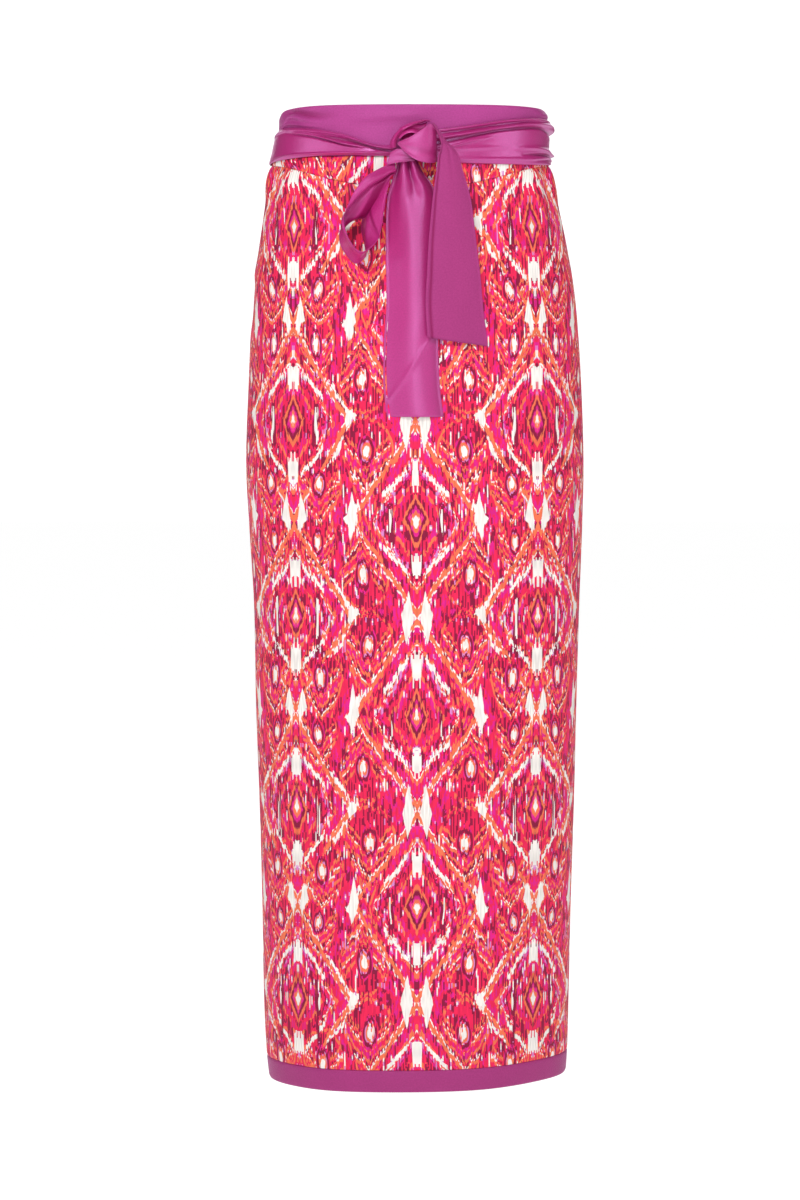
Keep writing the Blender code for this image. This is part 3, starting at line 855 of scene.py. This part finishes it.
def loop_painted_shade(t, v):
    """Painted shade on the loop: its inner face is darkened as lying in the fold, apart from its bright
    ridge and its rim, and the outer strip and the slanted crease where the satin turns back up are darkened
    too.
    """
    inner = smooth_step((v - loop_fold_line(t) + 0.06) / 0.12) * smooth_step((0.50 - t) * 7)
    lit = bump(v, 0.52, 0.10) * bump(t, 0.27, 0.09) + bump(v, 0.98, 0.06)
    outer = 0.35 * (1 - inner) * smooth_step((0.60 - t) * 5) * (1 - bump(v, 0.02, 0.05))
    return outer + 0.95 * inner * (1 - 0.8 * np.clip(lit, 0, 1)) + 0.8 * loop_back_crease(t, v, 0.08)


def wrap_folds(t, v):
    """A soft dent across the wrap and its fuller lower edge."""
    dent = -0.0007 * bump(v, 0.55 - 0.25 * t, 0.16) * np.sin(np.pi * t)
    fuller = 0.0008 * bump(v, 0.14, 0.10) * smooth_step(t * 3)
    return dent + fuller + hem_line(v, depth=0.0002, inset=0.06)


# painted shade at both ends of the wrap, where it turns under, and in its soft dent
def wrap_painted_shade(t, v):
    ends = 0.55 * smooth_step((t - 0.82) * 6) + 0.30 * smooth_step((0.10 - t) * 10)
    return ends + 0.35 * bump(v, 0.50 - 0.3 * t, 0.10)


# painted shade all along, deepening towards the end that runs beneath the wrap
def under_painted_shade(t, v):
    return 0.2 + 0.8 * smooth_step((t - 0.35) * 2.2)


def arch_wave(v):
    """The ridges along the arch, 1 on a ridge and -1 in a valley."""
    return np.cos(v * 3.4 * np.pi)


# painted shade in the arch's valleys and along its lower edge
def arch_painted_shade(t, v):
    return np.clip(-1.3 * arch_wave(v), 0, 1) * np.sin(np.pi * t) + 0.9 * smooth_step((0.30 - v) * 5)


def arch_folds(t, v):
    """Two soft ridges along the arch, and the wrinkles where it tightens at its top."""
    ridges = 0.0008 * arch_wave(v) * np.sin(np.pi * t)
    return ridges + 0.0006 * bump(t, 0.80, 0.06) * np.cos(v * 5 * np.pi)


def fold_wave(v):
    """The ridges along the folded strip, 1 on a ridge and -1 in a valley."""
    return np.cos((v - 0.1) * 2.6 * np.pi)


# painted shade in the strip's valleys and towards its far end
def fold_painted_shade(t, v):
    return 0.9 * np.clip(-fold_wave(v), 0, 1) + 0.5 * smooth_step((t - 0.6) * 3)


def fold_folds(t, v):
    return 0.0008 * fold_wave(v) * np.sin(np.pi * t)


def knot_heart(materials):
    """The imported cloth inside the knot, in soft creases, and the strip folded over it under the arch."""
    centre = front(*KNOT_MIDDLE)
    angle = np.linspace(0, 2 * np.pi, 61)[:, None]
    rise = np.linspace(-np.pi / 2 + 0.02, np.pi / 2 - 0.02, 40)[None, :]
    ring = np.cos(rise)
    ball = np.stack((ring * np.cos(angle), ring * np.sin(angle), np.sin(rise) * np.ones_like(angle)), -1)
    crease = 0.10 * np.sin(7 * ball[..., 2] + 5 * ball[..., 0]) * np.cos(4 * ball[..., 0])
    points = centre + ball * np.array(KNOT_HALF) * (0.95 + crease[..., None] * 0.8)
    uv = np.stack((cut_lengths(points, 0), cut_lengths(points, 1)), -1)
    # painted shade: the whole core is darkened fully
    cloth("knot_core_cloth", "knot_core", points, uv, materials, SATIN, depth=FOLD_PAINTED_SHADE)
    ribbon("knot_fold", "knot_core", KNOT_FOLD, 50, 30, materials, fold_folds, fold_painted_shade)


class Value:
    """A number worked out by a material's nodes, with the usual arithmetic."""

    def __init__(self, tree, socket):
        self.tree = tree
        self.socket = socket

    def math(self, operation, *others):
        node = self.tree.nodes.new("ShaderNodeMath")
        node.operation = operation
        for slot, item in zip(node.inputs, (self, *others)):
            if isinstance(item, Value):
                self.tree.links.new(item.socket, slot)
            else:
                slot.default_value = item
        return Value(self.tree, node.outputs[0])

    def __add__(self, other):
        return self.math("ADD", other)

    def __sub__(self, other):
        return self.math("SUBTRACT", other)

    def __mul__(self, other):
        return self.math("MULTIPLY", other)

    def __truediv__(self, other):
        return self.math("DIVIDE", other)

    def __abs__(self):
        return self.math("ABSOLUTE")

    def floor(self):
        return self.math("FLOOR")

    def fold(self, half):
        return self.math("PINGPONG", half)

    def wrap(self, low, high):
        return self.math("WRAP", high, low)

    def below(self, limit):
        return self.math("LESS_THAN", limit)

    def above(self, limit):
        return self.math("GREATER_THAN", limit)

    def smaller(self, other):
        return self.math("MINIMUM", other)

    def larger(self, other):
        return self.math("MAXIMUM", other)


def combine(x, y, z):
    node = x.tree.nodes.new("ShaderNodeCombineXYZ")
    for slot, item in zip(node.inputs, (x, y, z)):
        if isinstance(item, Value):
            x.tree.links.new(item.socket, slot)
        else:
            slot.default_value = item
    return node.outputs[0]


def noise(x, y, z, detail=0.0):
    """Smooth noise about 0, within about 0.5 either way, at places given in its own steps."""
    node = x.tree.nodes.new("ShaderNodeTexNoise")
    set_inputs(node, {"Scale": 1.0, "Detail": detail})
    x.tree.links.new(combine(x, y, z), node.inputs["Vector"])
    return Value(x.tree, node.outputs["Fac"]) - 0.5


def measure(tree):
    """The cloth's own measure across and up, in millimetres."""
    node = tree.nodes.new("ShaderNodeUVMap")
    node.uv_map = "Cut"
    parts = tree.nodes.new("ShaderNodeSeparateXYZ")
    tree.links.new(node.outputs[0], parts.inputs[0])
    return Value(tree, parts.outputs[0]) * 1000, Value(tree, parts.outputs[1]) * 1000


def mix_colour(tree, factor, first, second):
    node = tree.nodes.new("ShaderNodeMix")
    node.data_type = "RGBA"
    for slot, item in ((node.inputs[0], factor), (node.inputs[6], first), (node.inputs[7], second)):
        if isinstance(item, Value):
            tree.links.new(item.socket, slot)
        elif hasattr(item, "is_output"):
            tree.links.new(item, slot)
        else:
            slot.default_value = item
    return node.outputs[2]


def dye(name):
    return (*DYES[name], 1.0)


# Bands of the ikat from a motif's middle (0) over its edge (1) to the ground round it: where each starts,
# its dye, the dye that streaks it, and how much of it is streaked
Band = namedtuple("Band", "start dye streak share")


def bands(*rows):
    return [Band(*row) for row in rows]


MEDALLIONS = bands(
    (0.00, "red", "magenta", 0.42),
    (0.20, "red", "burgundy", 0.36),
    (0.34, "magenta", "red", 0.55),
    (0.43, "orange", "red", 0.36),
    (0.48, "red", "burgundy", 0.34),
    (0.57, "burgundy", "magenta", 0.52),
    (0.61, "red", "lilac", 0.38),
    (0.67, "cream", "orange", 0.42),
    (0.69, "orange", "red", 0.38),
    (0.75, "red", "magenta", 0.42),
    (0.84, "magenta", "red", 0.50),
    (0.91, "cream", "orange", 0.45),
    (0.93, "orange", "orange", 0.00),
    (1.00, "red", "magenta", 0.44),
    (1.10, "burgundy", "red", 0.58),
    (1.16, "red", "magenta", 0.45),
    (1.26, "magenta", "red", 0.50),
    (1.34, "red", "burgundy", 0.36),
    (1.43, "red", "magenta", 0.48),
)
DROPS = bands(
    (0.00, "red", "burgundy", 0.42),
    (0.10, "orange", "red", 0.15),
    (0.145, "red", "burgundy", 0.40),
    (0.225, "cream", "orange", 0.40),
    (0.25, "orange", "red", 0.30),
    (0.295, "red", "magenta", 0.42),
    (0.385, "orange", "red", 0.15),
    (0.43, "burgundy", "red", 0.52),
    (0.50, "cream", "orange", 0.42),
    (0.525, "orange", "red", 0.30),
    (0.57, "red", "magenta", 0.42),
    (0.66, "orange", "red", 0.40),
    (0.705, "magenta", "red", 0.48),
    (0.78, "red", "burgundy", 0.38),
    (0.885, "orange", "red", 0.42),
    (0.965, "red", "burgundy", 0.34),
)
EYES = bands(
    (0.00, "cream", "cream", 0.0),
    (0.34, "orange", "cream", 0.30),
    (0.52, "lilac", "red", 0.45),
    (0.62, "burgundy", "burgundy", 0.0),
    (0.84, "red", "magenta", 0.40),
)

# The dyes of the small lozenge in a medallion's middle, from its rim inwards
JEWEL = [(1.0, "orange"), (0.80, "burgundy"), (0.58, "magenta"), (0.42, "orange"), (0.24, "cream")]

# Where the pointed drops stand in a repeat of the ikat, in millimetres from the middle of a medallion, the
# way that each points (1 down), and how large it is
Drop = namedtuple("Drop", "across up way size")
DROP_PLACES = [
    Drop(47, 66, 1, 1.00),
    Drop(96, 34, 1, 0.92),
    Drop(52, -54, -1, 0.96),
    Drop(99, -20, 1, 0.80),
]

# A drop of size 1: its half width, its height on either side of its widest line, its eye and its chevrons
DROP_WIDE, DROP_HEAD, DROP_TAIL = 27.0, 36.0, 74.0
EYE_WIDE, EYE_TALL = 9.0, 18.0
CHEVRON_SLOPE = 0.016

# Half the ikat's repeat, across and up, and how wide its threads and its broader slipped strips are
REPEAT_HALF = 125.0
REPEAT_UP = 95.0
THREAD = 1.3
STRIP = 4.3


def band_colour(tree, place, bands, span, streak):
    """The dye at a place in a table of bands, streaked where the streak is under the band's share, and
    that share."""
    outputs = []
    for column in ("dye", "streak"):
        node = tree.nodes.new("ShaderNodeValToRGB")
        ramp = node.color_ramp
        ramp.interpolation = "CONSTANT"
        while len(ramp.elements) < len(bands):
            ramp.elements.new(0.5)
        for element, band in zip(ramp.elements, bands):
            element.position = band.start / span
            element.color = (*DYES[getattr(band, column)], band.share)
        tree.links.new((place / span).socket, node.inputs[0])
        outputs.append(node)
    share = Value(tree, outputs[0].outputs["Alpha"])
    streaked = (share - streak).above(0.0)
    return mix_colour(tree, streaked, outputs[0].outputs["Color"], outputs[1].outputs["Color"]), share


def length2(a, b):
    return (a.math("MULTIPLY", a) + b.math("MULTIPLY", b)).math("SQRT")


def drop_places(x, v):
    """How far out a place lies in the nearest pointed drop, 1 at its edge, in that drop's chevrons, and in
    its eye."""
    drop, chevron, eye = None, None, None
    for place in DROP_PLACES:
        u = abs(x - place.across) / place.size
        w = (v - place.up).wrap(-REPEAT_UP, REPEAT_UP) * (place.way / place.size)
        above, below = w.larger(0.0) / DROP_HEAD, (w * -1).larger(0.0) / DROP_TAIL
        here = length2(u / DROP_WIDE, above) + below
        bands = (u * CHEVRON_SLOPE - w / DROP_TAIL).larger(0.0)
        ring = length2(u / EYE_WIDE, w / EYE_TALL)
        nearer = None if drop is None else (drop - here).above(0.0)
        chevron = bands if drop is None else chevron + nearer * (bands - chevron)
        drop = here if drop is None else drop.smaller(here)
        eye = ring if eye is None else eye.smaller(ring)
    return drop, chevron, eye


def ikat_colour(tree, shift):
    """The printed ikat: medallions and pointed drops in nested bands, mirrored about upright axes, with
    each thread's dye slipped up or down its own way."""
    across, up = measure(tree)
    across, up = across + shift[0], up + shift[1]
    x = across.fold(REPEAT_HALF)
    wobble = noise(x / 40, up / 60, 3.0)
    thread = (x / THREAD).floor()
    broad = (x / STRIP).floor()
    slip = noise(thread * 7.31, up / 45, 11.0) * 13 + noise(broad * 5.17, up / 90, 23.0) * 4
    v = up + slip + wobble * 9
    xw = (x + wobble * 4).larger(0.0).smaller(REPEAT_HALF)
    streak = noise(thread * 3.77, up / 24, 31.0) * 1.8 + 0.5 + noise(broad * 9.1, up / 40, 5.0) * 0.25
    # one kind of medallion stands on the front's axis, and another half a repeat higher on the sides'
    half = REPEAT_HALF / 2
    rise = abs(v.wrap(-REPEAT_UP, REPEAT_UP))
    side = (xw / half + rise / REPEAT_UP).above(1.5)
    near = xw + side * (xw * -2 + REPEAT_HALF)
    tall = rise + side * (rise * -2 + REPEAT_UP)
    middle = (v + side * REPEAT_UP).wrap(-REPEAT_UP, REPEAT_UP)
    medallion = near / half + tall / REPEAT_UP
    drop, chevron, eye = drop_places(xw, v)
    rim = drop.above(0.87)
    in_drop = drop.below(1.07)
    colour, share = band_colour(tree, medallion, MEDALLIONS, 1.6, streak)
    drop_colour, drop_share = band_colour(tree, chevron + rim * (drop - chevron), DROPS, 1.6, streak)
    colour = mix_colour(tree, in_drop, colour, drop_colour)
    share = share + in_drop * (drop_share - share)
    # loose dashes of cream, lilac and burgundy where the bands are streaked
    fleck = noise(thread * 11.9, up / 18, 71.0)
    free = share.above(0.30)
    colour = mix_colour(tree, fleck.below(-0.17) * free, colour, dye("burgundy"))
    colour = mix_colour(tree, fleck.above(0.20) * free, colour, dye("lilac"))
    colour = mix_colour(tree, fleck.above(0.235) * free, colour, dye("cream"))
    # the lattice's own lines, orange with a thin cream one outside
    line = abs(medallion - 0.968).below(0.030)
    thin = abs(medallion - 1.018).below(0.013) * (fleck + 0.06).above(0.0)
    colour = mix_colour(tree, line, colour, dye("orange"))
    colour = mix_colour(tree, thin, colour, dye("cream"))
    # cream kites at the medallions' sides and tips
    clear = drop.above(0.97)
    outside = medallion - 1.03
    wedge = outside.above(0.0) * (outside - (tall / -48 + 1.0) * 0.12).below(0.0)
    kite = (wedge + (abs(near - half) / 6 + tall / 30).below(1.0)).smaller(1.0)
    tip = (abs(near - 9) / 6 + abs(tall - REPEAT_UP) / 28).below(1.0)
    colour = mix_colour(tree, (kite + tip).smaller(1.0) * clear, colour, dye("cream"))
    # cream bars above and below a medallion's middle, with wings that slope down from them
    ragged = near / (side * 2 + 4.5) - noise(thread * 5.3, up / 50, 91.0) * 0.5
    bar = ragged.larger(abs(tall - 52 + streak * 14) / 11)
    wing = abs(tall + near * 1.1 - 60).below(2.6) * near.above(9.0) * near.below(33.0)
    colour = mix_colour(tree, (bar.below(1.0) + wing).smaller(1.0), colour, dye("cream"))
    # dark dashes with light hearts at either side of the middle, and a small nested lozenge on the axis
    dash = (abs(near - 25) + streak * 4).below(4.8) * (abs(middle + 4) + streak * 34).below(36)
    colour = mix_colour(tree, dash, colour, dye("burgundy"))
    slit = (abs(near - 26) + streak * 4).below(2.6) * (abs(middle + 2) + streak * 34).below(26)
    colour = mix_colour(tree, slit, colour, dye("cream"))
    jewel = near / 13 + abs(middle) / 27
    for reach, name in JEWEL:
        colour = mix_colour(tree, jewel.below(reach), colour, dye(name))
    eyes, _ = band_colour(tree, eye, EYES, 1.0, streak)
    colour = mix_colour(tree, eye.below(1.0), colour, eyes)
    # each thread takes the dye a little differently
    shade = noise(thread * 1.93, up / 14, 41.0) * 0.50 + 1.0
    tone = tree.nodes.new("ShaderNodeVectorMath")
    tone.operation = "SCALE"
    tree.links.new(colour, tone.inputs[0])
    tree.links.new(shade.socket, tone.inputs["Scale"])
    return tone.outputs[0]


def weave_bump(tree, shader, across, up, pitch, strength):
    """A woven grain: two crossing waves of the given pitch in millimetres, and a little unevenness."""
    warp = (across * (2 * np.pi / pitch)).math("SINE")
    weft = (up * (2 * np.pi / pitch)).math("SINE")
    height = warp * weft + noise(across / 1.3, up / 1.3, 2.0, detail=2.0) * 0.35
    node = tree.nodes.new("ShaderNodeBump")
    set_inputs(node, {"Strength": strength, "Distance": 0.0002})
    tree.links.new(height.socket, node.inputs["Height"])
    tree.links.new(node.outputs[0], shader.inputs["Normal"])


def set_inputs(node, values):
    for name, value in values.items():
        node.inputs[name].default_value = value


def new_material(name):
    material = bpy.data.materials.new(name)
    material.use_nodes = True
    return material, material.node_tree, material.node_tree.nodes["Principled BSDF"]


def silk_material(name, shift=(0.0, 0.0), fade=0.0):
    material, tree, shader = new_material(name)
    colour = ikat_colour(tree, shift)
    if fade:
        colour = mix_colour(tree, fade, colour, FADED)
    tree.links.new(colour, shader.inputs["Base Color"])
    looks = {"Roughness": 0.62, "Specular IOR Level": 0.20, "Sheen Weight": 0.04, "Sheen Roughness": 0.45}
    set_inputs(shader, looks)
    across, up = measure(tree)
    weave_bump(tree, shader, across, up, 0.55, 0.25)
    return material


def satin_material(name, satin):
    material, tree, shader = new_material(name)
    across, up = measure(tree)
    mottle = noise(across / 26, up / 40, 1.0, detail=2.0) * 0.14
    fine = noise(across / 1.6, up / 1.6, 7.0, detail=1.0) * 0.40
    tone = tree.nodes.new("ShaderNodeVectorMath")
    tone.operation = "SCALE"
    tone.inputs[0].default_value = satin.colour
    tree.links.new((mottle + fine + 1.0).socket, tone.inputs["Scale"])
    # painted shade: the satin is mixed towards the dark orchid by each point's stored painted shade, darkest
    # in folds
    depth = tree.nodes.new("ShaderNodeAttribute")
    depth.attribute_name = "Depth"
    deep = mix_colour(tree, Value(tree, depth.outputs["Fac"]), tone.outputs[0], ORCHID_PAINTED_SHADE)
    tree.links.new(deep, shader.inputs["Base Color"])
    set_inputs(
        shader,
        {
            "Roughness": satin.roughness,
            "Specular IOR Level": satin.gloss,
            "Specular Tint": ORCHID_GLOSS,
            "IOR": SATIN_IOR,
            "Metallic": satin.shine,
            "Sheen Weight": satin.sheen,
            "Sheen Roughness": 0.30,
            "Sheen Tint": ORCHID_SHEEN,
        },
    )
    weave_bump(tree, shader, across, up, 0.45, satin.grain)
    return material


def backdrop(name, white, make, **sizes):
    """A piece of the studio, in pale paper that gives off a little light of its own."""
    material, tree, shader = new_material(name)
    paper = {"Base Color": PAPER, "Roughness": 1.0, "Specular IOR Level": 0.0}
    set_inputs(shader, {**paper, "Emission Color": WHITE, "Emission Strength": white})
    shape = bmesh.new()
    make(shape, radius=ROOM, **sizes)
    mesh = bpy.data.meshes.new(name)
    shape.to_mesh(mesh)
    shape.free()
    mesh.materials.append(material)
    piece = bpy.data.objects.new(name, mesh)
    bpy.context.scene.collection.objects.link(piece)
    return piece


def room():
    """A pale floor under a white dome, which only the camera sees, and soft lights."""
    floor = backdrop("floor", 0.97, bmesh.ops.create_circle, cap_ends=True, segments=96)
    floor.location.z = FLOOR
    dome = backdrop("dome", 1.0, bmesh.ops.create_icosphere, subdivisions=4)
    dome.visible_diffuse = dome.visible_glossy = dome.visible_shadow = False
    world = bpy.data.worlds.new("studio")
    world.use_nodes = True
    set_inputs(world.node_tree.nodes["Background"], {"Color": WHITE, "Strength": AMBIENT})
    bpy.context.scene.world = world
    bpy.context.scene.view_settings.view_transform = "Standard"
    for row in LAMPS:
        lamp = bpy.data.lights.new(row.name, "AREA")
        lamp.size = row.size
        lamp.energy = row.power
        aim(row.name, lamp, row.place, LIT_POINT).visible_glossy = row.name != "fill"


def aim(name, data, place, target):
    """An object for a lamp or a camera, which stands at a place and looks at a target."""
    holder = bpy.data.objects.new(name, data)
    holder.location = place
    holder.rotation_euler = (Vector(target) - Vector(place)).to_track_quat("-Z", "Y").to_euler()
    bpy.context.scene.collection.objects.link(holder)
    return holder


def camera():
    data = bpy.data.cameras.new("camera")
    data.sensor_width = SENSOR
    data.lens = SENSOR * (Vector(LOOK_AT) - Vector(CAMERA)).length / FRAME_HEIGHT
    data.clip_end = CLIP_END
    bpy.context.scene.camera = aim("camera", data, CAMERA, LOOK_AT)


def dress():
    silk = silk_material("printed_silk_cloth")
    silk_back = silk_material("printed_silk_wrong_side", fade=0.55)
    yoke_silk = silk_material("printed_silk_yoke", shift=(31.0, 80.0))
    loose, taut, soft, shade_dimmed, dull, reverse = ([satin_material(name, row)] for name, row in SATINS.items())
    silks, yoke_silks = [silk, silk_back], [yoke_silk, silk_back]
    for side in ("front", "back"):
        panel("waistband", side, band_top, band_bottom, BAND_ROWS, dull, waistband_relief)
        panel("yoke", side, band_bottom, yoke_seam, YOKE_ROWS, yoke_silks)
        panel("skirt", side, yoke_seam, hem_seam, SKIRT_ROWS, silks)
        panel("hem_band", side, hem_seam, hem_bottom, HEM_ROWS, reverse)
    for name, rows, columns in (
        ("sash_left", SASH_LEFT, 150),
        ("sash_right", SASH_RIGHT, 150),
        ("sash_back", SASH_BACK, 260),
    ):
        sash_stretch(name, rows, columns, taut)
    knot_heart(shade_dimmed)
    # each ribbon's last function gives its painted shade
    for name, rows, steps, across, satin, folds, depth in (
        ("tail_long", TAIL_LONG, 150, 60, loose, long_tail_folds, long_tail_painted_shade),
        ("tail_short", TAIL_SHORT, 150, 60, reverse, short_tail_folds, short_tail_painted_shade),
        ("bow_loop", LOOP, 170, 44, shade_dimmed, loop_folds, loop_painted_shade),
        ("knot_wrap", KNOT_WRAP, 60, 40, soft, wrap_folds, wrap_painted_shade),
        ("knot_under", KNOT_UNDER, 40, 30, soft, wrap_folds, under_painted_shade),
        ("knot_arch", KNOT_ARCH, 60, 40, shade_dimmed, arch_folds, arch_painted_shade),
    ):
        ribbon(name, name, rows, steps, across, satin, folds, depth)


dress()
room()
camera()
